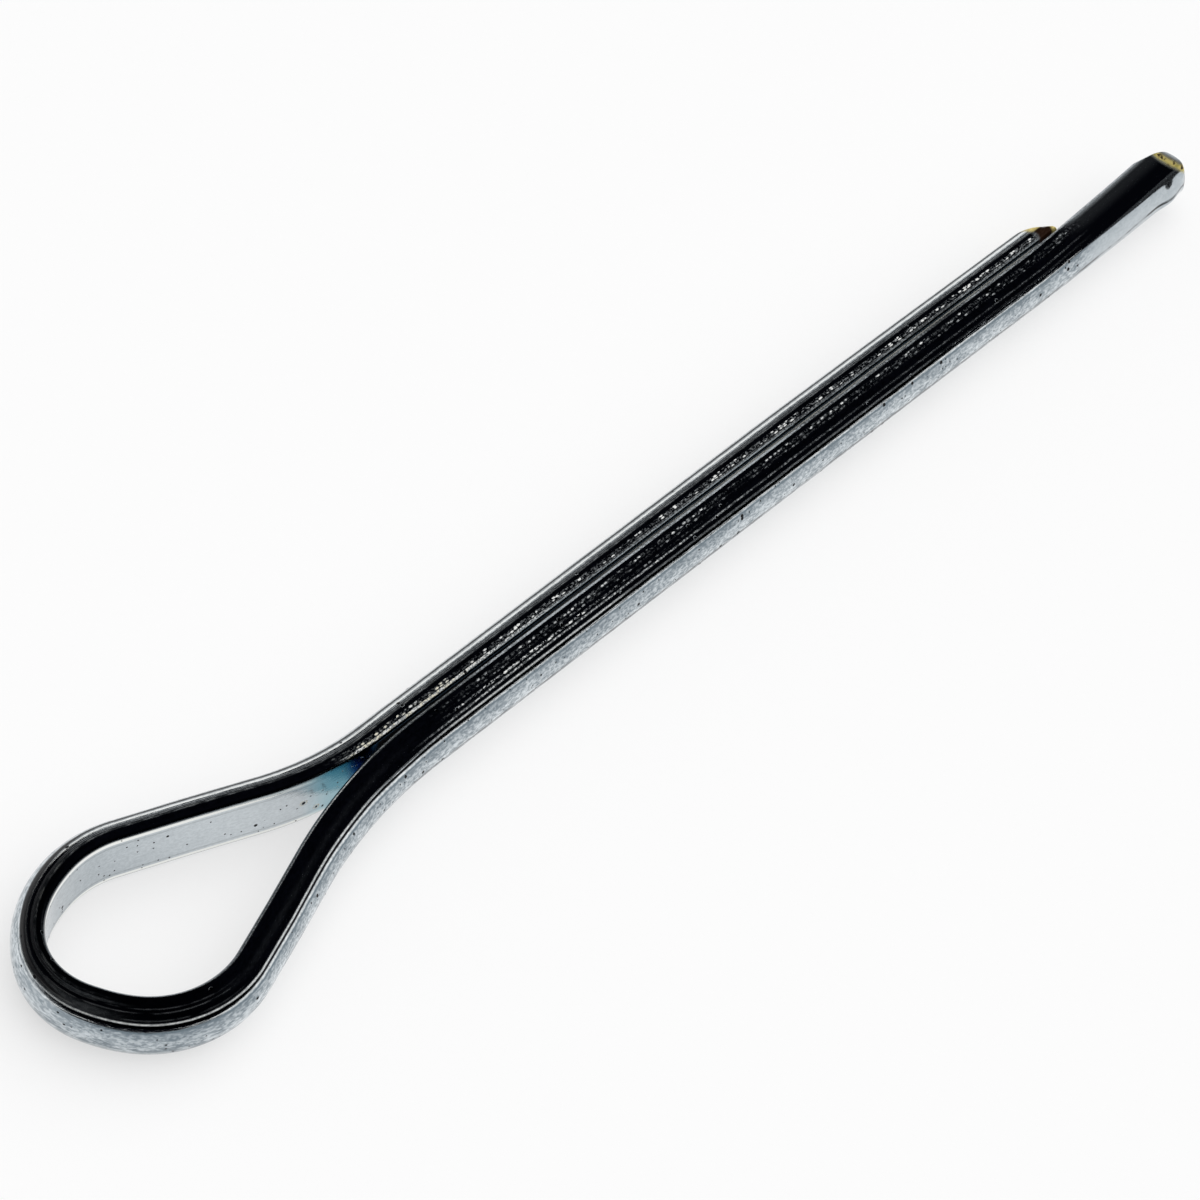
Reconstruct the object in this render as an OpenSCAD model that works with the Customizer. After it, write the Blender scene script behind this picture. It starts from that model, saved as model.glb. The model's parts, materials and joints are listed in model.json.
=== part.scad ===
// Split cotter pin: one half-round wire, bent double into a teardrop eye and two legs.
// The flats of the legs face each other, so that together they make a round shank.
// X runs along the shank to the tips, Y across the two legs and Z out of the eye's plane.
// The origin lies on the shank's axis, where the shank begins to be fully round.

/* [Wire] */
// Diameter of the round shank that the two legs make together
pin_d = 5.7; // [4.6:0.1:7]
// Rounding of the wire's two long edges, where its flat meets its round back
edge_r = 0.6; // [0.3:0.05:0.7]
// Gap left between the two flats along the shank
leg_gap = 0.2; // [0.1:0.05:0.6]

/* [Legs] */
// Length of the short leg, from the start of the round shank to its point
short_leg = 69; // [40:0.5:110]
// How far the long leg reaches past the short one
overhang = 14; // [8:0.5:20]
// Radius at which the long leg's end leans over towards the short leg
lean_r = 430; // [300:10:800]
// How far before the short leg's point that lean starts
lean_lead = 4; // [3:0.5:5]

/* [Tips] */
// Slope of the bevel on the short leg's back from the shank's axis, in degrees
short_bevel = 22; // [18:1:40]
// Thickness that the bevel leaves at the short leg's point
short_point = 0.6; // [0.4:0.1:1.2]
// Slope of the bevel round the back of the long leg's nose from the shank's axis, in degrees
nose_bevel = 45; // [40:1:60]
// Depth of that bevel, measured in from the wire's back
nose_bevel_depth = 1.1; // [0.6:0.1:1.6]
// Bevel on the flat side of the nose, where the shears pressed the edge down
nose_roll = 0.5; // [0.2:0.1:0.8]

/* [Eye] */
// Radius of the neck that bends the short leg out to the eye
short_neck_r = 25; // [15:0.5:35]
// Angle at which the eye opens from that neck, in degrees
short_opening = 22.5; // [18:0.5:27]
// Radius of the eye's bend on the short leg's side
short_shoulder_r = 7.5; // [6:0.1:9]
// Turn of that bend past parallel with the shank, in degrees
short_shoulder_turn = 57; // [40:1:65]
// Radius of the tightest bend, at the end of the eye
crown_r = 4.9; // [4:0.1:7]
// Turn of the tightest bend, in degrees
crown_turn = 55; // [40:1:65]
// Radius of the slack stretch that follows the tightest bend
slack_r = 10; // [7:0.5:16]
// Turn of the slack stretch, in degrees
slack_turn = 18; // [10:1:25]
// Radius of the eye's bend on the long leg's side
long_shoulder_r = 6.9; // [5.5:0.1:8]
// Angle at which the eye opens from the long leg's neck, in degrees
long_opening = 21.5; // [18:0.5:27]
// Radius of the neck that bends the long leg out to the eye
long_neck_r = 40; // [25:0.5:45]
// Slight bow of the eye's two sides, in degrees
side_bow = 1.5; // [1:0.5:4]

/* [Hidden] */
$fn = 128;

pin_r = pin_d / 2;
flat_y = leg_gap / 2;
long_leg = short_leg + overhang;
lean_start = short_leg - lean_lead;

// How far the long leg's flat has risen at a place in its lean
function lean_rise(x) = lean_r - sqrt(pow(lean_r, 2) - pow(x - lean_start, 2));

// Centre of an edge's rounding, from the flat and from mid-height
edge_centre = [edge_r, sqrt(pow(pin_r - edge_r, 2) - pow(flat_y + edge_r, 2))];

// Headings of the wire round the eye's end, from parallel with one leg to parallel with the other
crown_heading = 180 + short_shoulder_turn;
slack_heading = crown_heading + crown_turn;
shoulder_heading = slack_heading + slack_turn;

// Distance that a bend covers across the eye, between two headings
function across(radius, from, to) = radius * (cos(to) - cos(from));

// Width of the eye's opening, flat to flat
opening_w = across(short_shoulder_r, 180, crown_heading)
    + across(crown_r, crown_heading, slack_heading)
    + across(slack_r, slack_heading, shoulder_heading)
    + across(long_shoulder_r, shoulder_heading, 360);

// Radius of a side's bow that brings the flat from its neck out to half the opening
function side_r(neck_r, shoulder_r, opening) =
    let (width = opening_w / 2 - flat_y)
    (width - across(neck_r, opening, 0) - across(shoulder_r, opening - side_bow, 0))
        / across(1, opening, opening - side_bow);

// Bends of the flat from the short leg round the eye to the long leg, each as
// [radius, turn]. A bend turns left where its turn is positive.
bends = [
    [short_neck_r, -short_opening],
    [side_r(short_neck_r, short_shoulder_r, short_opening), side_bow],
    [short_shoulder_r, short_opening - side_bow + short_shoulder_turn],
    [crown_r, crown_turn],
    [slack_r, slack_turn],
    [long_shoulder_r, 360 - shoulder_heading + long_opening - side_bow],
    [side_r(long_neck_r, long_shoulder_r, long_opening), side_bow],
    [long_neck_r, -long_opening]
];

// Way from a bend's centre to its wire, where the wire has the heading given
function spoke(bend, heading) = bend[0] * sign(bend[1]) * [sin(heading), -cos(heading)];

// Where each bend starts, and where the last one ends: [point, heading]
function stations(point, heading, i = 0) =
    i == len(bends)
        ? [[point, heading]]
        : let (next = heading + bends[i][1])
            concat(
                [[point, heading]],
                stations(point - spoke(bends[i], heading) + spoke(bends[i], next), next, i + 1)
            );

// The neck that ends farther along the shank sets the origin
span_x = stations([0, flat_y], 180)[len(bends)][0].x;
short_start = -max(0, span_x);
long_start = short_start + span_x;
eye_stations = stations([short_start, flat_y], 180);

// Moves by a coarse and a fine step, so that faces that meet stay flush to a nanometre
module shift(way) {
    coarse = [for (value = way) round(value * 1000) / 1000];
    translate(coarse) translate(way - coarse) children();
}

// Section of the wire, with its flat on the Y axis and its round back towards +X
module wire_section() {
    beyond = edge_centre + pin_r * (edge_centre + [flat_y, 0]) / (pin_r - edge_r);
    intersection() {
        translate([-flat_y, 0]) circle(r = pin_r);
        polygon([
            [0, -edge_centre.y],
            [edge_centre.x, -edge_centre.y],
            [beyond.x, -beyond.y],
            [pin_d, 0],
            beyond,
            edge_centre,
            [0, edge_centre.y]
        ]);
    }
    for (side = [-1, 1]) shift([edge_centre.x, side * edge_centre.y]) circle(r = edge_r);
}

// Straight leg of wire with its back towards +Y, from one place along the shank to another
module leg(from_x, to_x) {
    shift([from_x, flat_y, 0])
        rotate([90, 0, 90])
            linear_extrude(height = to_x - from_x) wire_section();
}

// Wedge that bevels the short leg's back, down to the thickness left at its point
module point_wedge() {
    half_x = pin_d / tan(short_bevel);
    point_y = flat_y + short_point;
    linear_extrude(height = 2 * pin_d, center = true)
        polygon([
            [short_leg + half_x, point_y - pin_d],
            [short_leg + half_x, point_y + pin_d],
            [short_leg - half_x, point_y + pin_d]
        ]);
}

// Room that the long leg's nose may fill: as wide and round as the shank, square on to
// its flat, with a bevel round its back edge and a smaller one on its flat side
module nose_room() {
    nose_x = long_leg - pin_r;
    bevel_in = nose_bevel_depth / tan(nose_bevel);
    roll_y = flat_y - lean_rise(nose_x);
    translate([nose_x, 0, 0])
        rotate([90, 0, 0])
            rotate_extrude()
                polygon([
                    [0, -pin_d],
                    [pin_r - nose_roll, -pin_d],
                    [pin_r - nose_roll, roll_y],
                    [pin_r, roll_y + nose_roll],
                    [pin_r, pin_r - nose_bevel_depth],
                    [pin_r - bevel_in, pin_r],
                    [0, pin_r]
                ]);
    translate([long_start - pin_d, -pin_d, -pin_d])
        cube([nose_x - long_start + pin_d, 2 * pin_d, 2 * pin_d]);
}

module short_leg_bar() {
    difference() {
        leg(short_start, short_leg);
        point_wedge();
    }
}

// The long leg is straight beside the short one, and its end leans over. The lean runs
// past the nose, which then cuts it to length.
module long_leg_bar() {
    lean_turn = asin((long_leg + pin_r - lean_start) / lean_r);
    intersection() {
        union() {
            mirror([0, 1, 0]) leg(long_start, lean_start);
            wire_bend([lean_r, lean_turn], [[lean_start, -flat_y], 360]);
        }
        nose_room();
    }
}

// Bend of wire that starts at a station
module wire_bend(bend, station) {
    left = bend[1] > 0;
    centre = station[0] - spoke(bend, station[1]);
    shift([centre.x, centre.y, 0])
        rotate_extrude(
            start = left ? station[1] - 90 : station[1] + 90 + bend[1],
            angle = abs(bend[1])
        )
            shift([bend[0], 0])
                mirror([left ? 0 : 1, 0]) wire_section();
}

module eye() {
    for (i = [0:len(bends) - 1]) wire_bend(bends[i], eye_stations[i]);
}

module split_pin() {
    color([0.72, 0.74, 0.76]) {
        short_leg_bar();
        eye();
        long_leg_bar();
    }
}

split_pin();
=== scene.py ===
import json
from math import asin, atan2, cos, degrees, pi, radians, sin, sqrt, tan
from types import SimpleNamespace

import bmesh
import bpy
from bpy.props import FloatProperty, FloatVectorProperty, IntProperty, PointerProperty
from bpy.types import Operator, Panel, PropertyGroup
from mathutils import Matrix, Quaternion, Vector


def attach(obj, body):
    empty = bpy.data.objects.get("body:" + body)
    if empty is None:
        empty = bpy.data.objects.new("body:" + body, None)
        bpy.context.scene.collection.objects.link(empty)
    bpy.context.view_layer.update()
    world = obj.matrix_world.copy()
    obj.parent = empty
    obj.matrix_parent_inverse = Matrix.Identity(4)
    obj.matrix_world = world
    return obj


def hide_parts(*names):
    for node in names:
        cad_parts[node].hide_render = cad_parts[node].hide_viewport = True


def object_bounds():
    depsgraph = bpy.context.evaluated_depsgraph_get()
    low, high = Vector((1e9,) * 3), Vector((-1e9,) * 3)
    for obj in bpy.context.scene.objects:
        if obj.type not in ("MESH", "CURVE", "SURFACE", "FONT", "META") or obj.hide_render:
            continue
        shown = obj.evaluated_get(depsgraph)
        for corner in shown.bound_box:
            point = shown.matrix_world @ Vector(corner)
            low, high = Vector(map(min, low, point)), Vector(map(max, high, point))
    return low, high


bl_info = {
    "name": "Split Cotter Pin",
    "version": (1, 0, 0),
    "blender": (4, 5, 0),
    "location": "3D View > Sidebar > Split Pin",
    "description": "Bends a split cotter pin from half-round wire and finishes it in zinc",
    "category": "Add Mesh",
}

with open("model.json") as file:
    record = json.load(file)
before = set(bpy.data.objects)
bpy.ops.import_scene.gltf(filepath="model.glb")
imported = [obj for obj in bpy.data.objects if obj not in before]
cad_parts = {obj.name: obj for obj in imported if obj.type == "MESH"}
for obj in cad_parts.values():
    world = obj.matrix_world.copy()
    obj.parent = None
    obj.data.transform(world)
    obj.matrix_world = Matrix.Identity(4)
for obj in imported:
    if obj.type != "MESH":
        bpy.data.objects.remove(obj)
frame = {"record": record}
CAD_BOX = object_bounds()
MM = 0.001
SHANK = next(mount for mount in frame["record"]["mounts"] if mount["name"] == "shank")
PIN_RADIUS = SHANK["dims"]["r_mm"] * MM
# Slack for places that should meet
SLACK = MM / 100
# Steps in which the wire closes on each end
NOSE_STEPS = 24
POINT_STEPS = 14
# Sizes of the rings that cover a sheared end, each as a share of the ring before it
END_RINGS = (0.88, 0.86, 0.82, 0.75, 0.65, 0.5)
# Widths of the floor's rings, as shares of its radius
FLOOR_RINGS = (0.02, 0.08, 0.2, 0.7)
# Each lamp's name, share of the light, and spread, tilt and turn in degrees
LAMPS = (
    ("key_light", 0.6, 100, 30, 60),
    ("fill_light", 0.4, 150, 10, -120),
)


def length(name, description, default):
    """A length in millimetres, kept in metres."""
    return FloatProperty(
        name=name, description=description, default=default * MM, subtype="DISTANCE", unit="LENGTH"
    )


def angle(name, description, default):
    """An angle in degrees, kept in radians."""
    return FloatProperty(
        name=name, description=description, default=radians(default), subtype="ANGLE", unit="ROTATION"
    )


def colour(name, description, default):
    """A linear colour."""
    return FloatVectorProperty(
        name=name, description=description, default=default, subtype="COLOR", size=3, min=0, max=1
    )


def share(name, description, default):
    """A share from none to all."""
    return FloatProperty(
        name=name, description=description, default=default, min=0, max=1, subtype="FACTOR"
    )


class PinWire(PropertyGroup):
    """The half-round wire."""

    slit: length("Slit", "Gap between the two flats along the shank", 0.2)
    edge: length("Edge rounding", "Rounding between the wire's flat and its back", 0.6)
    back_steps: IntProperty(name="Back steps", description="Faces round the wire's back", default=60)
    edge_steps: IntProperty(name="Edge steps", description="Faces round each edge", default=8)
    flat_steps: IntProperty(name="Flat steps", description="Faces across the flat", default=10)
    spacing: length("Spacing", "Distance between rings of faces along the wire", 0.5)


class PinLegs(PropertyGroup):
    """The two legs and their ends."""

    short_leg: length("Short leg", "From the start of the round shank to the short leg's point", 69.4)
    overhang: length("Overhang", "How far the long leg reaches past the short one", 13.0)
    lean_radius: length("Lean radius", "Radius at which the long leg's end leans over", 460)
    lean_lead: length("Lean lead", "How far before the short leg's point that lean starts", 4)
    bow: length("Bow", "How far the shank's end bows over to the long leg's side", 0.06)
    bow_start: length("Bow start", "Where along the shank that bow starts", 40)
    thinning: share("Thinning", "Share of its thickness that the short leg loses by its point", 0.11)
    twist: angle("Twist", "Twist of the long leg's end past the short leg", 12.9)
    short_bevel: angle("Short bevel", "Slope of the bevel on the short leg's back", 38)
    short_point: length("Short point", "Thickness left at the short leg's point", 0.3)
    short_corner: length("Short corner", "Rounding of the short leg's point, seen from its flat", 0.9)
    nose_round: length("Nose rounding", "How far back the nose is rounded, seen from the flat", 1.9)
    nose_roll: length("Nose roll", "How far the nose is rolled back at its flat", 1.1)
    nose_roll_depth: length("Nose roll depth", "How far in from the flat that roll starts", 1.15)
    nose_corner: length("Nose corner", "How far the two corners beside the flat are rolled back", 3.4)
    nose_corner_depth: length("Nose corner depth", "How far in from the flat those corners start", 1.35)
    nose_corner_height: length("Nose corner height", "How far from mid-height those corners start", 0.95)
    nose_bevel: length("Nose bevel", "How far the nose is worn back at the wire's back", 0.8)
    nose_bevel_depth: length("Nose bevel depth", "How far in from the back that wear starts", 0.6)
    burr: length("Burr", "Height of the burr on the back of the nose", 0.3)
    burr_place: length("Burr place", "How far behind the nose's tip the burr stands", 2.2)
    burr_reach: length("Burr reach", "How far the burr spreads round its middle", 1.8)
    worn_edge: length("Worn edge", "Rounding of the sheared ends' edges", 0.12)


class PinEye(PropertyGroup):
    """The bends of the eye, from the short leg round to the long one."""

    short_neck: length("Short neck", "Radius of the short leg's neck", 25)
    short_opening: angle("Short opening", "Angle at which the eye opens from that neck", 22.5)
    short_shoulder: length("Short shoulder", "Radius of the bend on the short leg's side", 7.5)
    short_shoulder_turn: angle("Short shoulder turn", "Turn of that bend past parallel", 57)
    crown: length("Crown", "Radius of the tightest bend", 4.9)
    crown_turn: angle("Crown turn", "Turn of the tightest bend", 55)
    slack: length("Slack", "Radius of the slack stretch after it", 10)
    slack_turn: angle("Slack turn", "Turn of the slack stretch", 18)
    long_shoulder: length("Long shoulder", "Radius of the bend on the long leg's side", 6.9)
    long_opening: angle("Long opening", "Angle at which the eye opens from the long leg's neck", 21.5)
    long_neck: length("Long neck", "Radius of the long leg's neck", 40)
    side_bow: angle("Side bow", "Slight bow of the eye's two sides", 1.5)
    press: length("Crown press", "How far the tightest bend is pressed thin from its inside", 0.38)
    press_reach: length("Press reach", "How far that press reaches along the wire to each side", 6)


class PinFinish(PropertyGroup):
    """The zinc plating, its pits and stains, and its painted highlights and shade."""

    zinc: colour("Zinc", "Bright zinc plating", (0.75, 0.80, 0.83))
    cloud: colour("Cloud", "Duller patches in the plating", (0.23, 0.27, 0.30))
    # Painted shade: darker bluish bands on the long leg's side, where its reflection fades
    band_shade: colour("Border", "Bluish bands that the die left along the wire", (0.17, 0.21, 0.24))
    shine: colour("Shine", "Raised specks worn bright", (0.92, 0.93, 0.90))
    teal: colour("Teal", "Tint of the plating where the legs part", (0.40, 0.61, 0.68))
    # Colour of the painted highlights, glints and pale reflections
    blue: colour("Blue", "Tint of the plating deep between the legs", (0.06, 0.20, 0.42))
    gold: colour("Gold", "Yellow tint of the sheared ends", (0.52, 0.44, 0.10))
    # Also painted shade: a darker blue deep between the legs
    straw: colour("Straw", "Pale yellow tint at the point's edges", (0.80, 0.66, 0.24))
    rust: colour("Rust", "Brown tint of bare steel at the ends", (0.032, 0.013, 0.006))
    # Also the colour of all painted shade
    pit_dirt_and_shade: colour("Dirt", "Dark pits in the plating", (0.012, 0.012, 0.014))
    roughness: share("Roughness", "Roughness of the plating", 0.05)


class PinStudio(PropertyGroup):
    """The floor, the light and the camera."""

    floor: colour("Floor", "Colour of the floor", (1.0, 1.0, 1.0))
    glow: share("Glow", "Share of the floor's brightness that comes through it", 0.6)
    room: colour("Room", "Dim room round the floor, which the metal mirrors", (0.0020, 0.0022, 0.0040))
    floor_radius: FloatProperty(
        name="Floor radius", description="Radius of the floor", default=2.5, unit="LENGTH"
    )
    level: FloatProperty(
        name="Light level", description="Light on an upward face, where 1 shows its colour", default=1.02
    )
    azimuth: angle("Azimuth", "Camera's turn round the pin", -52.96)
    elevation: angle("Elevation", "Camera's height above the horizon", 53.0)
    roll: angle("Roll", "Camera's roll", 9.34)
    distance: length("Distance", "Camera's distance from its target", 416.4)
    lens: FloatProperty(name="Lens", description="Focal length in millimetres", default=171.0)
    target_x: length("Target X", "Where along the pin the camera aims", 18.57)
    target_y: length("Target Y", "Where across the pin the camera aims", -0.53)


# The wire's course


class Bend:
    """One bend of the wire's flat, which turns left where its turn is positive."""

    def __init__(self, radius, turn):
        self.radius = radius
        self.turn = turn

    def spoke(self, heading):
        """Way from the bend's centre to its wire, where the wire has that heading."""
        side = self.radius if self.turn > 0 else -self.radius
        return Vector((sin(heading), -cos(heading), 0)) * side

    def shift(self, heading):
        """How far the bend carries the wire from that heading on."""
        return self.spoke(heading + self.turn) - self.spoke(heading)


def eye_bends(eye, slit):
    """The bends from the short leg round the eye to the long leg."""
    crown_heading = pi + eye.short_shoulder_turn
    slack_heading = crown_heading + eye.crown_turn
    shoulder_heading = slack_heading + eye.slack_turn

    def across(radius, start, end):
        return radius * (cos(end) - cos(start))

    opening = (
        across(eye.short_shoulder, pi, crown_heading)
        + across(eye.crown, crown_heading, slack_heading)
        + across(eye.slack, slack_heading, shoulder_heading)
        + across(eye.long_shoulder, shoulder_heading, 2 * pi)
    )

    def side(neck, shoulder, turn):
        inner = turn - eye.side_bow
        width = opening / 2 - slit / 2 - across(neck, turn, 0) - across(shoulder, inner, 0)
        return width / across(1, turn, inner)

    return [
        Bend(eye.short_neck, -eye.short_opening),
        Bend(side(eye.short_neck, eye.short_shoulder, eye.short_opening), eye.side_bow),
        Bend(eye.short_shoulder, eye.short_opening - eye.side_bow + eye.short_shoulder_turn),
        Bend(eye.crown, eye.crown_turn),
        Bend(eye.slack, eye.slack_turn),
        Bend(eye.long_shoulder, 2 * pi - shoulder_heading + eye.long_opening - eye.side_bow),
        Bend(side(eye.long_neck, eye.long_shoulder, eye.long_opening), eye.side_bow),
        Bend(eye.long_neck, -eye.long_opening),
    ]


class WireDraft:
    """A bmesh of wire that is drawn along its course, ring by ring."""

    def __init__(self):
        self.bm = bmesh.new()
        # Place in the straight wire before it is bent: along it, in from its flat, and up
        self.drawn = self.bm.verts.layers.float_vector.new("drawn")
        # 1 where the shears cut the wire
        self.sheared = self.bm.verts.layers.float.new("sheared")

    def section(self, start, wire):
        """The first ring: round back, two rounded edges and a flat, with the back towards +Y."""
        bm = self.bm
        offset = wire.slit / 2
        rise = sqrt((PIN_RADIUS - wire.edge) ** 2 - (offset + wire.edge) ** 2)
        edge_angle = atan2(rise, offset + wire.edge)
        upper, lower = Vector((0, wire.edge, rise)), Vector((0, wire.edge, -rise))
        middle = Vector((0, offset, 0))
        first = bm.verts.new(start + Vector((0, 0, rise)))
        last = self.round_off(first, start + upper, edge_angle - pi, wire.edge_steps)
        last = self.round_off(last, start - middle, -2 * edge_angle, wire.back_steps)
        last = self.round_off(last, start + lower, edge_angle - pi, wire.edge_steps)
        for _ in range(wire.flat_steps - 1):
            made = bmesh.ops.extrude_vert_indiv(bm, verts=[last])
            last = made["verts"][0]
            last.co.z += 2 * rise / wire.flat_steps
        bm.edges.new((last, first))
        for vert in bm.verts:
            place = vert.co - start
            vert[self.drawn] = Vector((0, place.y, place.z))
        return list(bm.edges)

    def round_off(self, vert, centre, turn, steps):
        """Spins a vertex into an arc of the section, and returns the arc's last vertex."""
        made = bmesh.ops.spin(
            self.bm,
            geom=[vert],
            cent=centre,
            axis=(1, 0, 0),
            dvec=(0, 0, 0),
            angle=turn,
            steps=steps,
            use_merge=False,
        )
        return next(item for item in made["geom_last"] if isinstance(item, bmesh.types.BMVert))

    def run_on(self, ring, way, advance):
        """Extrudes a ring of the wire by a way, and marks how far along the wire it has come."""
        made = bmesh.ops.extrude_edge_only(self.bm, edges=ring)["geom"]
        bmesh.ops.translate(self.bm, verts=self.verts(made), vec=way)
        return self.mark(made, advance)

    def straight(self, ring, way, spacing):
        """Draws a straight stretch of wire."""
        steps = max(1, round(way.length / spacing))
        for _ in range(steps):
            ring = self.run_on(ring, way / steps, way.length / steps)
        return ring

    def bend(self, ring, centre, turn, radius, reach, spacing):
        """Spins the wire round a bend. The reach is the radius at which the rings are spaced."""
        steps = max(1, round(reach * abs(turn) / spacing))
        for _ in range(steps):
            made = bmesh.ops.spin(
                self.bm,
                geom=ring,
                cent=centre,
                axis=(0, 0, 1),
                dvec=(0, 0, 0),
                angle=turn / steps,
                steps=1,
                use_merge=False,
            )["geom_last"]
            ring = self.mark(made, radius * abs(turn) / steps)
        return ring

    def press(self, centre, middle, amount, reach, thickness):
        """Presses the wire's flat outwards from a bend's centre, and leaves its back."""
        for vert in self.bm.verts:
            along, depth, _ = vert[self.drawn]
            near = gone(abs(along - middle), reach, 0)
            push = amount * near**2 * (3 - 2 * near) * (1 - depth / thickness)
            way = (vert.co - centre) * Vector((1, 1, 0))
            vert.co += way.normalized() * push

    def mark(self, made, advance):
        """Marks new vertices as that much farther along the wire, and returns the new edges."""
        for vert in self.verts(made):
            vert[self.drawn] = vert[self.drawn] + Vector((advance, 0, 0))
        return self.edges(made)

    @staticmethod
    def verts(made):
        return [item for item in made if isinstance(item, bmesh.types.BMVert)]

    @staticmethod
    def edges(made):
        return [item for item in made if isinstance(item, bmesh.types.BMEdge)]

    @staticmethod
    def ring_verts(ring):
        return list(dict.fromkeys(vert for edge in ring for vert in edge.verts))

    def finish_end(self, ring, surface, steps, advance, worn_edge):
        """Carries the wire on to a surface that closes it, and covers that surface."""
        bm = self.bm
        for steps_left in range(steps, 0, -1):
            made = bmesh.ops.extrude_edge_only(bm, edges=ring)["geom"]
            for vert in self.verts(made):
                way = (surface(vert.co) - vert.co) * (1 / steps_left)
                vert.co += way
                vert[self.drawn] = vert[self.drawn] + Vector((advance * way.length, 0, 0))
            ring = self.edges(made)
        rim = ring
        rim_verts = self.ring_verts(rim)
        middle = sum((vert.co for vert in rim_verts), Vector()) / len(rim_verts)
        for size in END_RINGS:
            made = bmesh.ops.extrude_edge_only(bm, edges=ring)["geom"]
            for vert in self.verts(made):
                vert.co.yz = middle.yz + (vert.co.yz - middle.yz) * size
                vert.co = surface(vert.co)
                vert[self.sheared] = 1
            ring = self.edges(made)
        made = bmesh.ops.contextual_create(bm, geom=ring)
        bmesh.ops.poke(bm, faces=made["faces"])
        bmesh.ops.bevel(
            bm,
            geom=rim,
            offset=worn_edge,
            offset_type="OFFSET",
            affect="EDGES",
            segments=3,
            profile=0.5,
            material=-1,
            clamp_overlap=True,
        )


def point_surface(legs, slit, height):
    """The short leg's bevelled and rounded point: where a line along the leg meets it."""

    def meet(place):
        depth = place.y - slit / 2
        corner = min(legs.short_corner, max(0, abs(place.z) - height + legs.short_corner))
        meeting = legs.short_leg - max(0, depth - legs.short_point) / tan(legs.short_bevel)
        meeting -= legs.short_corner - sqrt(legs.short_corner**2 - corner**2)
        return Vector((meeting, place.y, place.z))

    return meet


def gone(place, start, end):
    """How far a place has gone from start to end, from 0 to 1."""
    return min(1, max(0, (place - start) / (end - start)))


def leaned(legs, x):
    """How far the long leg's end has leaned over at a place along the shank."""
    return legs.lean_radius - sqrt(legs.lean_radius**2 - max(0, x - legs.short_leg + legs.lean_lead) ** 2)


def nose_surface(legs, flat_rise, depth, height):
    """The long leg's rounded nose: where a line along the leg meets it."""

    def fall(reach, size):
        """How far a quarter-round of that size has fallen back at a reach from 0 to 1."""
        return size * (1 - sqrt(1 - reach**2))

    def meet(place):
        inward, level = flat_rise - place.y, abs(place.z)
        corner = gone(inward, legs.nose_corner_depth, 0) * gone(level, legs.nose_corner_height, height)
        meeting = legs.short_leg + legs.overhang - legs.nose_corner * corner**2
        meeting -= fall(gone(level, 0, height), legs.nose_round)
        meeting -= fall(gone(inward, legs.nose_roll_depth, 0), legs.nose_roll)
        meeting -= fall(gone(inward, depth - legs.nose_bevel_depth, depth), legs.nose_bevel)
        return Vector((meeting, place.y, place.z))

    return meet


def bend_pin(pin):
    """The whole pin as one mesh, from the short leg's point round the eye to the nose."""
    wire, legs, eye = pin.wire, pin.legs, pin.eye
    draft = WireDraft()
    bends = eye_bends(eye, wire.slit)
    carried, heading = Vector(), pi
    for bend in bends:
        carried += bend.shift(heading)
        heading += bend.turn
    short_start = -max(0, carried.x)
    long_start = short_start + carried.x
    thickness = PIN_RADIUS - wire.slit / 2
    # Rings on the slackest bends are spaced as on a bend of this radius
    widest = PIN_RADIUS * 6

    # The short leg runs from just behind its bevel to its neck
    tip_length = 1.4 * (PIN_RADIUS - legs.short_point) / tan(legs.short_bevel) + legs.short_corner
    bevel_start = legs.short_leg - tip_length
    place = Vector((bevel_start, wire.slit / 2, 0))
    first_ring = draft.section(place, wire)
    for vert in draft.bm.verts:
        vert[draft.drawn] += Vector((tip_length, 0, 0))
    ring = draft.straight(first_ring, Vector((short_start - bevel_start, 0, 0)), wire.spacing)
    place.x = short_start

    # The eye, pressed thin inside its tightest bend
    heading = pi
    crown_radius = min(bend.radius for bend in bends)
    for bend in bends:
        centre = place - bend.spoke(heading)
        start = max(vert[draft.drawn].x for vert in draft.ring_verts(ring))
        reach = min(bend.radius, widest)
        ring = draft.bend(ring, centre, bend.turn, bend.radius, reach, wire.spacing / 2)
        place += bend.shift(heading)
        heading += bend.turn
        if bend.radius == crown_radius:
            pressed = (centre, start)
    draft.press(*pressed, eye.press, eye.press_reach, thickness)

    # The long leg, and the lean of its end
    lean_start = legs.short_leg - legs.lean_lead
    ring = draft.straight(ring, Vector((lean_start - long_start, 0, 0)), wire.spacing)
    nose_start = legs.short_leg + legs.overhang - legs.nose_round - legs.nose_corner - PIN_RADIUS
    lean = asin((nose_start - lean_start) / legs.lean_radius)
    centre = Vector((lean_start, legs.lean_radius - wire.slit / 2, 0))
    ring = draft.bend(ring, centre, lean, legs.lean_radius, legs.lean_radius, wire.spacing)

    # The two sheared ends
    flat_rise = leaned(legs, nose_start) - wire.slit / 2
    height = max(vert.co.z for vert in draft.ring_verts(first_ring))
    nose = nose_surface(legs, flat_rise, thickness, height + SLACK)
    draft.finish_end(ring, nose, NOSE_STEPS, 1, legs.worn_edge)
    draft.finish_end(first_ring, point_surface(legs, wire.slit, height), POINT_STEPS, -1, legs.worn_edge)
    settle(draft.bm, legs, wire.slit, nose_start)
    bmesh.ops.recalc_face_normals(draft.bm, faces=draft.bm.faces)
    return draft.bm


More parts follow.
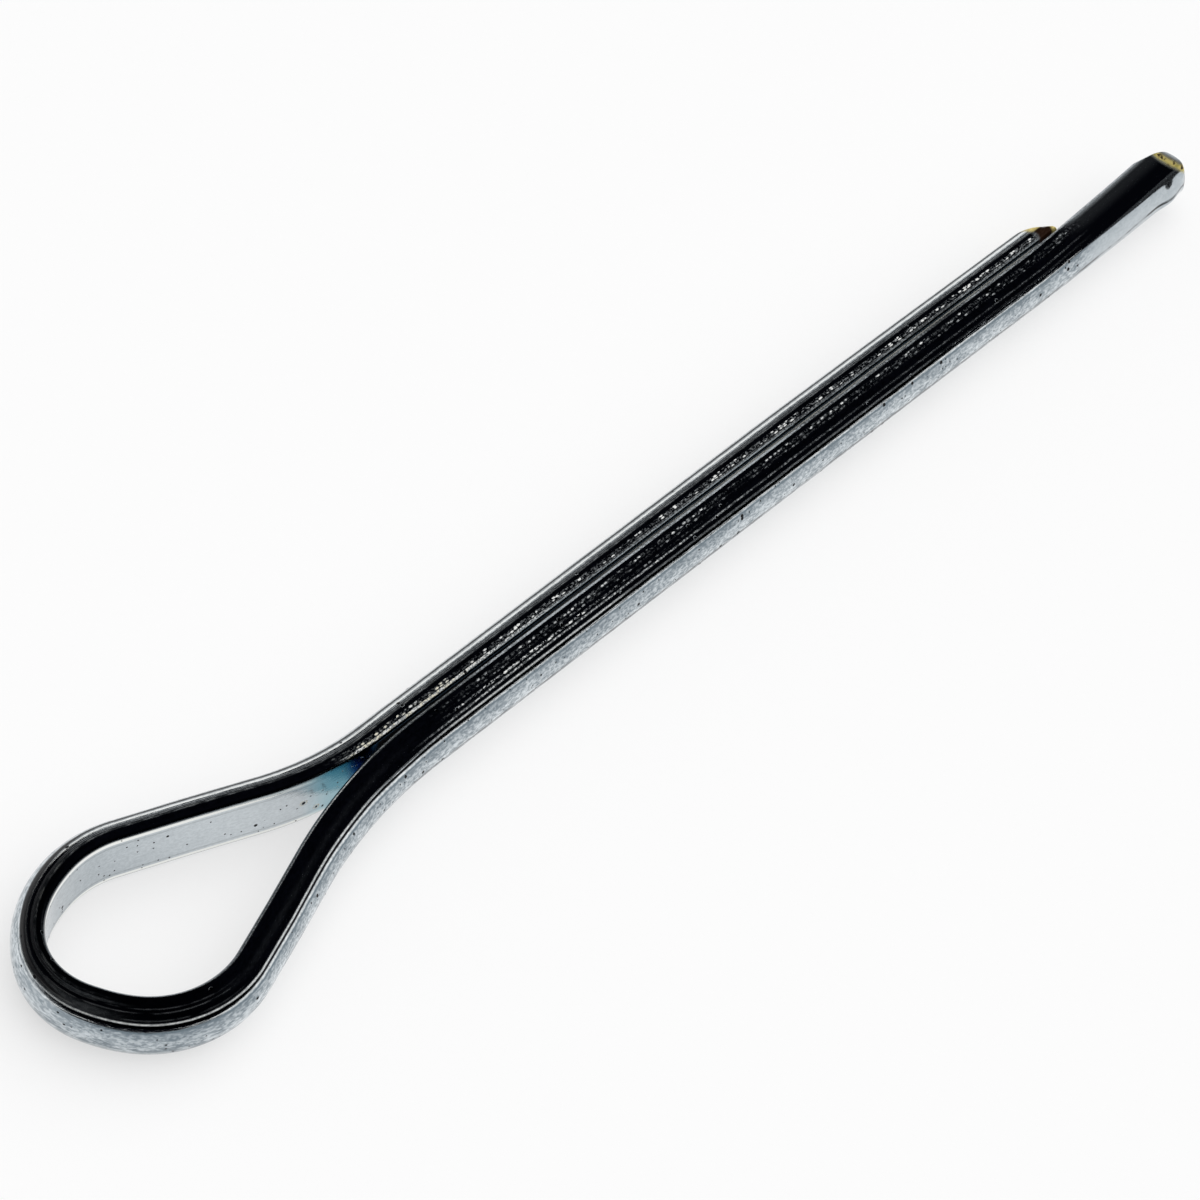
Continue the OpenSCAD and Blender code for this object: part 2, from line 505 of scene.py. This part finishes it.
def settle(bm, legs, slit, nose_start):
    """Gives the drawn pin the small errors of a real one, towards its tips."""
    lean_start = legs.short_leg - legs.lean_lead
    tip = legs.short_leg + legs.overhang
    burr = Vector((tip - legs.burr_place, -PIN_RADIUS, 0))
    for vert in bm.verts:
        x, y, z = vert.co
        if legs.bow_start < x < legs.short_leg + SLACK and y > 0:
            thickness = 1 - legs.thinning * gone(x, legs.bow_start, legs.short_leg)
            y = slit / 2 + (y - slit / 2) * thickness
        elif x > lean_start:
            lean = leaned(legs, x)
            y += lean - leaned(legs, min(x, nose_start))
            turn = legs.twist * gone(x, lean_start, tip - 2 * MM)
            y, z = lean + (y - lean) * cos(turn) + z * sin(turn), z * cos(turn) - (y - lean) * sin(turn)
            reach = min(1, (Vector((x, y, z)) - burr).length / legs.burr_reach)
            y -= legs.burr * (1 - reach) ** 2 * (1 + 2 * reach)
        y -= legs.bow * gone(x, legs.bow_start, lean_start) ** 2
        vert.co = (x, y, z)


# Materials


class Field:
    """A number that varies over a surface: a socket, with Python's operators."""

    def __init__(self, nodes, socket):
        self.nodes = nodes
        self.socket = socket

    def math(self, operation, *values):
        return self.nodes.make("ShaderNodeMath", {"operation": operation}, dict(enumerate((self, *values))))

    def __add__(self, other):
        return self.math("ADD", other)

    def __radd__(self, other):
        return self.math("ADD", other)

    def __sub__(self, other):
        return self.math("SUBTRACT", other)

    def __rsub__(self, other):
        return self.math("MULTIPLY_ADD", -1, other)

    def __mul__(self, other):
        return self.math("MULTIPLY", other)

    def __rmul__(self, other):
        return self.math("MULTIPLY", other)

    def __truediv__(self, other):
        return self.math("DIVIDE", other)

    def step(self, low, high):
        """0 below low and 1 above high, smooth between them. It falls where high is below low."""
        if low > high:
            return 1 - self.step(high, low)
        return self.nodes.make(
            "ShaderNodeMapRange",
            {"interpolation_type": "SMOOTHSTEP"},
            {"Value": self, "From Min": low, "From Max": high, "To Min": 0, "To Max": 1},
        )

    def peak(self, centre, width):
        """1 at a centre, and 0 at a width or more from it."""
        return self.math("SUBTRACT", centre).math("ABSOLUTE").step(width, 0)


class Nodes:
    """Makes the nodes of one material or world."""

    def __init__(self, tree):
        self.tree = tree
        tree.nodes.clear()

    def make(self, kind, settings=None, sockets=None, output=0):
        """One node: its settings first, then its sockets' values or links."""
        node = self.tree.nodes.new(kind)
        for name, value in (settings or {}).items():
            setattr(node, name, value)
        for name, value in (sockets or {}).items():
            if isinstance(value, Field):
                self.tree.links.new(value.socket, node.inputs[name])
            else:
                node.inputs[name].default_value = value
        return Field(self, node.outputs[output]) if len(node.outputs) else node

    def blend(self, factor, first, second):
        """A colour from first to second."""
        return self.make(
            "ShaderNodeMix",
            {"data_type": "RGBA", "clamp_factor": True},
            {"Factor": factor, 6: rgba(first), 7: rgba(second)},
            output=2,
        )

    def split(self, vector, colour=False):
        """A vector's three numbers in millimetres, or a colour's as they are."""
        kind = "ShaderNodeSeparateColor" if colour else "ShaderNodeSeparateXYZ"
        node = self.make(kind, None, {0: vector}).socket.node
        scale = 1 if colour else 1 / MM
        return [Field(self, output) * scale for output in node.outputs]


def rgba(value):
    """A colour with its alpha, or a field as it is."""
    return value if isinstance(value, Field) else (*value, 1.0)


# Degrees round the wire's back from its middle, where the draw lines of the long leg's side lie, with their
# painted highlights
BRIGHT_LINE = 40.5
THIN_LINE = 50.2
SPECK_LINE = 56.2

# The largest pits, each by its place along the wire, in from the flat and up, and its radius
LARGE_PITS = (
    ((79.4, 0.0, -0.25), 0.15),
    ((78.3, 0.0, -1.4), 0.10),
    ((133.5, 2.5, 1.15), 0.11),
    ((137.4, 2.75, 0.0), 0.10),
    ((140.2, 2.5, 1.1), 0.13),
    ((175.0, 2.7, -0.3), 0.16),
)


class WireFields:
    """Where a point lies on the wire, in millimetres and degrees, and the marks of its drawing."""

    def __init__(self, nodes):
        self.nodes = nodes
        self.drawn = nodes.make("ShaderNodeAttribute", {"attribute_name": "drawn"}, output=1)
        self.sheared = nodes.make("ShaderNodeAttribute", {"attribute_name": "sheared"}, output=2)

        # Place on the wire: along it, in from its flat, and up
        self.along, self.depth, self.height = nodes.split(self.drawn)
        self.level = self.height.math("ABSOLUTE")
        # Degrees round the wire's back from its middle: to both sides alike, and up alone
        self.turn = self.level.math("ARCTAN2", self.depth + 0.1) * degrees(1)
        self.belly = self.height.math("ARCTAN2", self.depth + 0.1) * degrees(1)
        self.back = self.depth.step(0.1, 0.5)
        self.flat = self.depth.step(0.02, 0.001)
        self.long_side = self.along.step(100.0, 112.0)
        self.short_side = 1 - self.long_side

        # Place on the bent pin
        self.x, self.y, self.z = nodes.split(nodes.make("ShaderNodeTexCoord", output=3))
        self.eye = self.x.step(0.0, -9.0)
        self.shank = self.x.step(-6.0, -4.5)
        self.overhang = self.x.step(68.5, 71.5)
        # Degrees to the long leg's lines, which waver at its neck
        self.track = self.turn + self.x.peak(-3.0, 5.0) * 2.2 - self.x.peak(-14.0, 5.5) * 1.8

        # Marks that the drawing left are long along the wire and narrow across it
        self.scratches = self.marks(0.03, 9.0, 3.0, 0.6)
        self.grain = self.marks(0.6, 5.0, 3.0, 0.65)
        self.clouds = self.marks(0.5, 1.5, 4.0, 0.6)
        self.drifts = self.marks(0.4, 0.45, 2.0, 0.6)
        self.breaks = self.marks(0.30, 1.6, 3.0, 0.6)
        self.beads = self.marks(0.9, 6.0, 2.0, 0.6).step(0.38, 0.60)
        self.dotted = self.marks(0.7, 7.0, 2.0, 0.5).step(0.46, 0.62)

    def place(self, stretch):
        return self.nodes.make(
            "ShaderNodeCombineXYZ", None, {0: self.along * stretch, 1: self.depth, 2: self.height}
        )

    def marks(self, stretch, scale, detail=2.0, roughness=0.5):
        """Noise whose marks are longer along the wire the smaller the stretch is."""
        sockets = {"Vector": self.place(stretch), "Scale": scale, "Detail": detail, "Roughness": roughness}
        return self.nodes.make("ShaderNodeTexNoise", None, sockets)

    def cells(self, stretch, scale):
        """Distance from the middle of each cell, and the cell's own random numbers."""
        sockets = {"Vector": self.place(stretch), "Scale": scale}
        distance = self.nodes.make("ShaderNodeTexVoronoi", None, sockets)
        tint = self.nodes.make("ShaderNodeTexVoronoi", None, sockets, output=1)
        return distance, self.nodes.split(tint, colour=True)


def long_leg_lines(wire):
    """Lines on the long leg's side: painted highlights, a band of painted shade, and a painted pale
    reflection beside the belly.
    """
    turn, track, x = wire.turn, wire.track, wire.x
    kept = 1 - wire.overhang

    # The thin line sinks a little towards the neck, and fades along the shank
    lower = turn + x.step(12.0, -1.0) * 2.8
    strength = x.step(-3.0, 5.0) * (x.step(44.0, 14.0) * 0.46 + 0.10)
    thin = lower.peak(THIN_LINE, 2.2) * strength * (wire.dotted * 1.1 + 0.35)
    thin = thin + turn.peak(SPECK_LINE, 2.2) * x.peak(10.0, 10.0) * wire.dotted * 0.35

    # The bright line is strongest by the neck, and breaks where the wire bends
    strength = x.step(21.0, 17.0) * (1 - x.peak(-3.5, 7.0)) * 0.52 + x.step(54.0, 51.0) * 0.17 + 0.03
    bright = track.peak(BRIGHT_LINE, 2.6) * strength * (wire.beads * 0.35 + 0.8)

    crown = turn.peak(62.5, 1.6) * 0.12 + turn.peak(56.5, 1.6) * 0.14 + turn.peak(46.0, 1.6) * 0.12
    crown = crown * wire.breaks.step(0.40, 0.55) * x.step(-24.0, -28.0)

    side = wire.long_side * wire.back
    # A band of painted shade, and a painted pale reflection beside it
    dark = track.step(33.8, 35.2) * track.step(39.2, 38.0) * x.step(57.0, 52.0)
    pale = track.peak(32.4, 2.2) * 0.50 * kept
    return (thin + bright + crown) * kept * side, dark * side, pale * side


def short_leg_lines(wire):
    """Lines on the short leg's side, a little higher round the eye: a painted highlight line, a painted
    pale band and painted shade.
    """
    rise = wire.turn - wire.eye * 4.5
    dashes = wire.marks(0.28, 4.5, 3.0, 0.6).step(0.45, 0.6)
    side = wire.short_side * wire.back
    faint = rise.peak(66.6, 3.0) * (0.13 - 0.08 * wire.eye + 0.16 * dashes)
    pale = rise.peak(53.4, 4.2) * 0.85
    shade_line = rise.peak(61.4, 3.2)
    dark = rise.peak(43.6, 9.0)
    return faint * side, pale * side, ((dark + shade_line) * side).math("MINIMUM", 1)


def glinting_specks(wire):
    """Raised specks painted bright as glints, crowded in rows, and a random number for each."""
    depth, turn, x = wire.depth, wire.turn, wire.x
    distance, chosen = wire.cells(0.52, 4.4)
    dots = distance.step(0.50, 0.20) * chosen[0].step(0.25, 0.80) + wire.dotted * 0.12

    # One row by the short leg's inner edge
    short_row = depth.step(0.28, 0.35) * depth.step(0.62, 0.52) * wire.level.step(2.5, 2.6)
    short_row = short_row * wire.short_side * x.step(-9.0, -5.0) * (x.step(6.0, 14.0) * 1.3 + 0.9)

    # Four rows along the long leg
    rows = turn.peak(SPECK_LINE, 2.6) * (x.peak(9.0, 14.0) * 5.0 + x.step(32.0, 24.0) * 0.3)
    rows = rows + turn.peak(THIN_LINE, 2.2) * 0.4 * x.step(48.0, 40.0)
    rows = rows + turn.peak(64.5, 2.6) * 0.5 + turn.peak(70.5, 3.6) * 1.1
    rows = rows * wire.long_side * x.step(0.0, 9.0)

    crowds = wire.marks(0.25, 0.8).step(0.30, 0.50)
    return dots * (rows + short_row) * (crowds * 0.6 + 0.4) * (1 - wire.overhang), chosen[2]


def inner_edges(wire):
    """What the wire's inner edges show where the two legs meet: painted highlights, painted shade, and matt
    rubbed spots.
    """
    depth, level, x = wire.depth, wire.level, wire.x
    patchy = wire.drifts.step(0.3, 0.7)
    edge = depth.step(0.03, 0.07) * level.step(2.2, 2.3)

    # A painted highlight streak on the short leg, strongest by the neck
    streak = edge * depth.step(0.28, 0.21) * depth.step(0.08, 0.14) * wire.short_side * x.step(-7.6, -4.0)
    streak = streak * (x.step(9.0, 5.0) * 0.85 + x.step(17.0, 12.0) * 0.3 + 0.24)
    streak = streak * (wire.dotted * 1.1 + 0.35)

    # The long leg's edge, where matt rubbed spots alternate with painted shade
    meeting = edge * depth.step(0.42, 0.32) * wire.long_side * x.step(-7.0, -4.0)
    rubbed = (wire.dotted * 0.6 + patchy * 0.4 + 0.4) * (1 - x.peak(55.5, 4.0) * 0.6)
    rubbed = rubbed * (x.step(3.0, 11.0) * 0.9 - x.step(37.0, 41.0) * 0.6 + 0.34)

    # The same edge round the eye, with a painted highlight line
    inner_line = depth.peak(0.28, 0.10) * level.step(2.3, 2.4) * wire.long_side * x.step(-4.0, -8.0)
    inner_line = inner_line * (0.3 + 0.5 * x.step(-16.0, -8.0)) * (wire.beads * 0.6 + 0.6)

    # Painted highlights on the flat's lip and the short leg's crest; painted shade in the gap between the
    # legs and round the eye's inner edges
    lip = wire.flat * level.step(2.14, 2.02) * level.step(1.5, 1.7)
    lip = lip * x.step(8.0, 34.0) * (patchy * 0.5 + 0.8)
    crest = depth.step(0.10, 0.02) * level.step(1.92, 2.04) * level.step(2.40, 2.22)
    gap = depth.step(0.10, 0.04) * level.step(1.98, 2.18) * wire.shank * (1 - wire.overhang)
    round_eye = depth.step(0.22, 0.15) * level.step(2.08, 2.24) * wire.eye
    return SimpleNamespace(
        glinting=streak + lip * 0.95 + inner_line,
        pale=crest * x.step(-5.5, -7.5) * wire.short_side,
        dark=gap * 0.95 + round_eye * 0.8 + meeting * (0.85 - rubbed * 1.1).math("MAXIMUM", 0),
        matt=meeting * rubbed,
        end=depth.step(0.80, 0.30) * level.step(2.0, 2.3) * wire.overhang,
    )


def pits(wire):
    """Dark pits in the plating, and the bright rims of the few large ones."""
    wide, wide_choice = wire.cells(1.0, 0.9)
    small, small_choice = wire.cells(1.0, 2.4)
    wide = wide.step(0.150, 0.105) * wide_choice[0].step(0.62, 0.66)
    small = small.step(0.20, 0.12) * small_choice[0].step(0.74, 0.78)
    holes = (wide + small * (wire.turn.step(34.0, 32.0) + wire.flat)) * (1 - wire.overhang * 0.9)
    rims = 0
    for centre, radius in LARGE_PITS:
        sockets = {0: wire.drawn, 1: Vector(centre) * MM}
        away = wire.nodes.make("ShaderNodeVectorMath", {"operation": "DISTANCE"}, sockets, output=1) / MM
        holes = holes + away.step(radius + 0.04, radius - 0.04)
        rims = away.peak(radius + 0.12, 0.08) + rims
    return holes.math("MINIMUM", 1), rims * wire.flat


def cloudiness(wire):
    """How dull the plating is: mottled, with the grain of the drawn wire, and even on the overhang."""
    clouds, x = wire.clouds, wire.x
    cloudy = clouds.step(0.35, 0.65) * 0.28 + wire.grain.step(0.39, 0.61) * 0.60
    cloudy = cloudy + wire.drifts.step(0.35, 0.65) * 0.20
    cloudy = cloudy + (clouds.step(0.45, 0.60) - 0.3) * wire.belly.peak(-12.0, 18.0) * wire.long_side * 0.8
    cloudy = cloudy * (1 - wire.overhang * 0.85) + wire.overhang * 0.40
    return cloudy * (wire.back * 0.8 + 0.2) + (1 - wire.back) * (x.step(-12.0, -28.0) * 0.30 + 0.14)


def band_shading(wire):
    """Painted shade: darker bluish bands beside the belly on the long leg's side, darker still at the
    crown.
    """
    track = wire.track
    belly = track.step(31.0, 29.0)
    band_shade = track.step(6.0, 27.0) * belly * (wire.grain.step(0.3, 0.6) * 0.25 + 0.36)
    band_shade = band_shade + track.peak(28.0, 3.0) * 0.60 + wire.x.step(-24.0, -30.0) * belly * 0.25
    return (band_shade * (1 - wire.overhang * 0.6)).math("MINIMUM", 1) * wire.long_side * wire.back


def stained_ends(wire, finish, base):
    """Stains over a base colour on both sheared ends: the colour, and where either end lies bare."""
    nodes, x, y, z = wire.nodes, wire.x, wire.y, wire.z
    stain = wire.marks(1.0, 1.6, 3.0, 0.6)

    # A tinted crescent across the nose, whose paler straw patches are painted highlights, and the bare
    # metal before it
    slant = x + z * 1.2
    nose = x.step(79.9, 80.3)
    crescent = slant.peak(83.9, 0.65) * nose * y.step(0.4, -0.2)
    base = nodes.blend(crescent * stain.step(0.25, 0.35), base, finish.gold)
    base = nodes.blend(crescent * stain.step(0.42, 0.50) * 0.7, base, finish.straw)
    base = nodes.blend(crescent * stain.step(0.54, 0.58), base, finish.rust)
    cap = slant.step(84.2, 84.7) * nose * z.step(1.2, 1.6)
    base = nodes.blend(cap, base, finish.zinc)

    # The short leg's bevel is brown, and its rim pale yellow
    point = x.step(66.9, 67.5) * x.step(70.5, 70.0) * y.step(-0.05, 0.05)
    base = nodes.blend(point, base, finish.rust)
    base = nodes.blend(point * (x.step(68.6, 68.9) + y.step(0.75, 0.95)), base, finish.straw)
    return base, crescent, cap, point


def zinc_plate(finish):
    """Bright zinc over drawn wire: painted highlights and shade along the wire, rows of specks painted
    bright, and tinted ends.
    """
    material = bpy.data.materials.new("zinc_plated_wire")
    material.use_nodes = True
    nodes = Nodes(material.node_tree)
    wire = WireFields(nodes)
    turn, x, eye, back = wire.turn, wire.x, wire.eye, wire.back
    long_glints, long_dark, long_pale = long_leg_lines(wire)
    short_glints, short_pale, short_shade = short_leg_lines(wire)
    specks, chosen = glinting_specks(wire)
    edges = inner_edges(wire)
    holes, rims = pits(wire)
    band_shade = band_shading(wire)

    # Colour: the plating, bands and lines of painted shade, its tint between the legs, which deepens into
    # painted shade, painted highlights and pale reflections, pits and stained ends
    glinting = (long_glints + short_glints + specks + edges.glinting + rims).math("MINIMUM", 1)
    # Painted shade: a dark line along the long leg's underside, a darker crown, and a dip on the flat round
    # the eye
    under_line = wire.belly.peak(-9.5, 5.0) * wire.long_side * back * (1 - eye)
    under_line = under_line * (wire.breaks.step(0.35, 0.60) * 1.1 + 0.2)
    crown_dark = x.step(-24.0, -29.0) * turn.step(39.0, 45.0) * back * 0.6
    shade = long_dark + short_shade + edges.dark + under_line + crown_dark
    shade = (shade + wire.level.peak(1.72, 0.16) * wire.flat * eye * 0.22).math("MINIMUM", 1)
    # The tint between the legs turns teal, then blue, then black as painted shade deep in the cleft
    cleft = wire.flat * (1 - wire.overhang)
    cleft_shade = cleft * x.step(-4.4, -3.5)
    base = nodes.blend(cloudiness(wire), finish.zinc, finish.cloud)
    base = nodes.blend(band_shade, base, finish.band_shade)
    base = nodes.blend(shade, base, finish.pit_dirt_and_shade)
    base = nodes.blend(long_pale + short_pale + edges.pale, base, finish.shine)
    base = nodes.blend(cleft * x.step(-10.5, -7.2), base, finish.teal)
    base = nodes.blend(cleft * x.step(-6.1, -4.5), base, finish.blue)
    base = nodes.blend(cleft_shade, base, finish.pit_dirt_and_shade)
    base = nodes.blend(glinting, base, finish.shine)
    # Some painted glints on the short leg by its neck are tinted straw
    yellow_glints = glinting * wire.short_side * x.step(8.0, 2.0) * chosen.step(0.4, 0.6) * 0.35
    base = nodes.blend(yellow_glints, base, finish.straw)
    base = nodes.blend(holes, base, finish.pit_dirt_and_shade)
    base, crescent, cap, point = stained_ends(wire, finish, base)

    # A faint painted sheen on the overhang and the eye: less metal, so the plating's colour shows dimly
    # there
    sheen = turn.peak(58.0, 8.0) * eye * x.step(-30.0, -22.0) * wire.long_side * 0.008
    sheen = sheen + turn.step(50.0, 68.0) * wire.overhang * 0.022
    matt = glinting * 0.92 + edges.matt + edges.end * 0.40 + short_shade + sheen + band_shade * 0.2 * (1 - eye) + cleft_shade
    bare = crescent * 0.6 + cap * 0.6 + point * 0.5 + wire.sheared * 0.2
    metallic = (1 - matt - bare).math("MAXIMUM", 0)

    dull = (glinting + edges.matt) * 0.3 + edges.end * 0.25 + cleft_shade * 0.6 + short_shade * 0.5 + wire.sheared * 0.2
    roughness = wire.clouds * 0.06 + dull.math("MINIMUM", 1) + finish.roughness
    roughness = roughness + (crescent + point) * 0.3 + holes * 0.4

    # Millimetres that the lines, scratches, specks and pits rise or sink
    ridges = (wire.track.peak(BRIGHT_LINE, 3.2) + turn.peak(THIN_LINE, 2.4) + turn.peak(66.3, 3.4)) * back
    relief = ((wire.scratches - 0.5) * 0.008 + (wire.grain - 0.5) * 0.003) * (1 - wire.overhang * 0.8)
    relief = relief + ridges * 0.006 + specks * 0.010 - holes * 0.05
    normal = nodes.make("ShaderNodeBump", None, {"Strength": 1.0, "Distance": MM, "Height": relief})
    shader = nodes.make(
        "ShaderNodeBsdfPrincipled",
        None,
        {"Base Color": base, "Metallic": metallic, "Roughness": roughness, "Normal": normal},
    )
    nodes.make("ShaderNodeOutputMaterial", None, {"Surface": shader})
    return material


def floor_finish(studio):
    """A pale floor, part of whose brightness comes through it as on a light table."""
    material = bpy.data.materials.new("studio_floor")
    material.use_nodes = True
    nodes = Nodes(material.node_tree)
    matt = nodes.make("ShaderNodeBsdfDiffuse", None, {"Color": rgba(studio.floor)})
    glow = nodes.make("ShaderNodeEmission", None, {"Color": rgba(studio.floor), "Strength": 1.0})
    mixed = nodes.make("ShaderNodeMixShader", None, {0: studio.glow, 1: matt, 2: glow})
    nodes.make("ShaderNodeOutputMaterial", None, {"Surface": mixed})
    return material


def link_mesh(name, bm, material):
    """Turns a bmesh into a smooth object at the origin."""
    mesh = bpy.data.meshes.new(name)
    bm.to_mesh(mesh)
    bm.free()
    mesh.shade_smooth()
    mesh.materials.append(material)
    thing = bpy.data.objects.new(name, mesh)
    bpy.context.scene.collection.objects.link(thing)
    return thing


# Operators


class SPLITPIN_OT_bend(Operator):
    """Bends the pin's wire and gives it its zinc finish"""

    bl_idname = "split_pin.bend"
    bl_label = "Bend the Pin"

    def execute(self, context):
        pin = context.scene.split_pin_settings
        thing = link_mesh("split_pin_wire", bend_pin(pin), zinc_plate(pin.finish))
        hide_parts("split_pin")
        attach(thing, "root")
        return {"FINISHED"}


class SPLITPIN_OT_stage(Operator):
    """Sets up the floor, the light and the camera"""

    bl_idname = "split_pin.stage"
    bl_label = "Set the Stage"

    def execute(self, context):
        studio = context.scene.split_pin_settings.studio
        self.lay_floor(studio)
        self.light(context.scene, studio)
        self.aim_camera(context.scene, studio)
        context.scene.view_settings.view_transform = "Standard"
        return {"FINISHED"}

    def lay_floor(self, studio):
        """A round, level floor."""
        bm = bmesh.new()
        low = CAD_BOX[0].z
        last = bm.verts.new((0, 0, low))
        for share_out in FLOOR_RINGS:
            made = bmesh.ops.extrude_vert_indiv(bm, verts=[last])
            last = made["verts"][0]
            last.co.x += share_out * studio.floor_radius
        bmesh.ops.spin(
            bm,
            geom=bm.verts[:] + bm.edges[:],
            cent=(0, 0, 0),
            axis=(0, 0, 1),
            dvec=(0, 0, 0),
            angle=2 * pi,
            steps=96,
            use_merge=True,
        )
        bmesh.ops.remove_doubles(bm, verts=bm.verts, dist=MM)
        bmesh.ops.recalc_face_normals(bm, faces=bm.faces)
        floor = link_mesh("studio_floor", bm, floor_finish(studio))

    def light(self, scene, studio):
        """Two broad soft lamps that light the room and not the metal's reflections."""
        for name, part, spread, tilt, turn in LAMPS:
            lamp = bpy.data.lights.new(name, "SUN")
            lamp.energy = pi * studio.level * part
            lamp.angle = radians(spread)
            thing = bpy.data.objects.new(name, lamp)
            thing.rotation_euler = (radians(tilt), 0, radians(turn))
            thing.visible_glossy = False
            scene.collection.objects.link(thing)
        world = bpy.data.worlds.new("dim_room")
        world.use_nodes = True
        scene.world = world
        nodes = Nodes(world.node_tree)
        dim = nodes.make("ShaderNodeBackground", None, {"Color": rgba(studio.room), "Strength": 1.0})
        nodes.make("ShaderNodeOutputWorld", None, {"Surface": dim})

    def aim_camera(self, scene, studio):
        """A long lens that looks down at the pin."""
        level = cos(studio.elevation)
        back = Vector((sin(studio.azimuth) * level, -cos(studio.azimuth) * level, sin(studio.elevation)))
        lens = bpy.data.cameras.new("studio_camera")
        lens.lens = studio.lens
        lens.clip_start = 0.01
        camera = bpy.data.objects.new("studio_camera", lens)
        camera.location = Vector((studio.target_x, studio.target_y, 0)) + back * studio.distance
        camera.rotation_mode = "QUATERNION"
        upright = back.to_track_quat("Z", "Y")
        camera.rotation_quaternion = upright @ Quaternion((0, 0, 1), studio.roll)
        scene.collection.objects.link(camera)
        scene.camera = camera


class SPLITPIN_PT_panel(Panel):
    """Lists the steps that make the pin"""

    bl_idname = "SPLITPIN_PT_panel"
    bl_label = "Split Pin"
    bl_space_type = "VIEW_3D"
    bl_region_type = "UI"
    bl_category = "Split Pin"

    def draw(self, context):
        for operator in (SPLITPIN_OT_bend, SPLITPIN_OT_stage):
            self.layout.operator(operator.bl_idname)
        for group in ("wire", "legs", "eye", "finish", "studio"):
            values = getattr(context.scene.split_pin_settings, group)
            box = self.layout.box()
            box.label(text=group.capitalize())
            for name in values.bl_rna.properties.keys():
                if name not in {"rna_type", "name"}:
                    box.prop(values, name)


class SplitPin(PropertyGroup):
    """Everything that can be set on the pin and its studio."""

    wire: PointerProperty(type=PinWire)
    legs: PointerProperty(type=PinLegs)
    eye: PointerProperty(type=PinEye)
    finish: PointerProperty(type=PinFinish)
    studio: PointerProperty(type=PinStudio)


CLASSES = (
    PinWire,
    PinLegs,
    PinEye,
    PinFinish,
    PinStudio,
    SplitPin,
    SPLITPIN_OT_bend,
    SPLITPIN_OT_stage,
    SPLITPIN_PT_panel,
)


def register():
    for item in CLASSES:
        bpy.utils.register_class(item)
    bpy.types.Scene.split_pin_settings = PointerProperty(type=SplitPin)


def unregister():
    del bpy.types.Scene.split_pin_settings
    for item in reversed(CLASSES):
        bpy.utils.unregister_class(item)


def main():
    """Makes the pin and its studio; the CAD's box is kept when the file loads."""
    register()
    bpy.ops.split_pin.bend()
    bpy.ops.split_pin.stage()


if __name__ == "__main__":
    main()
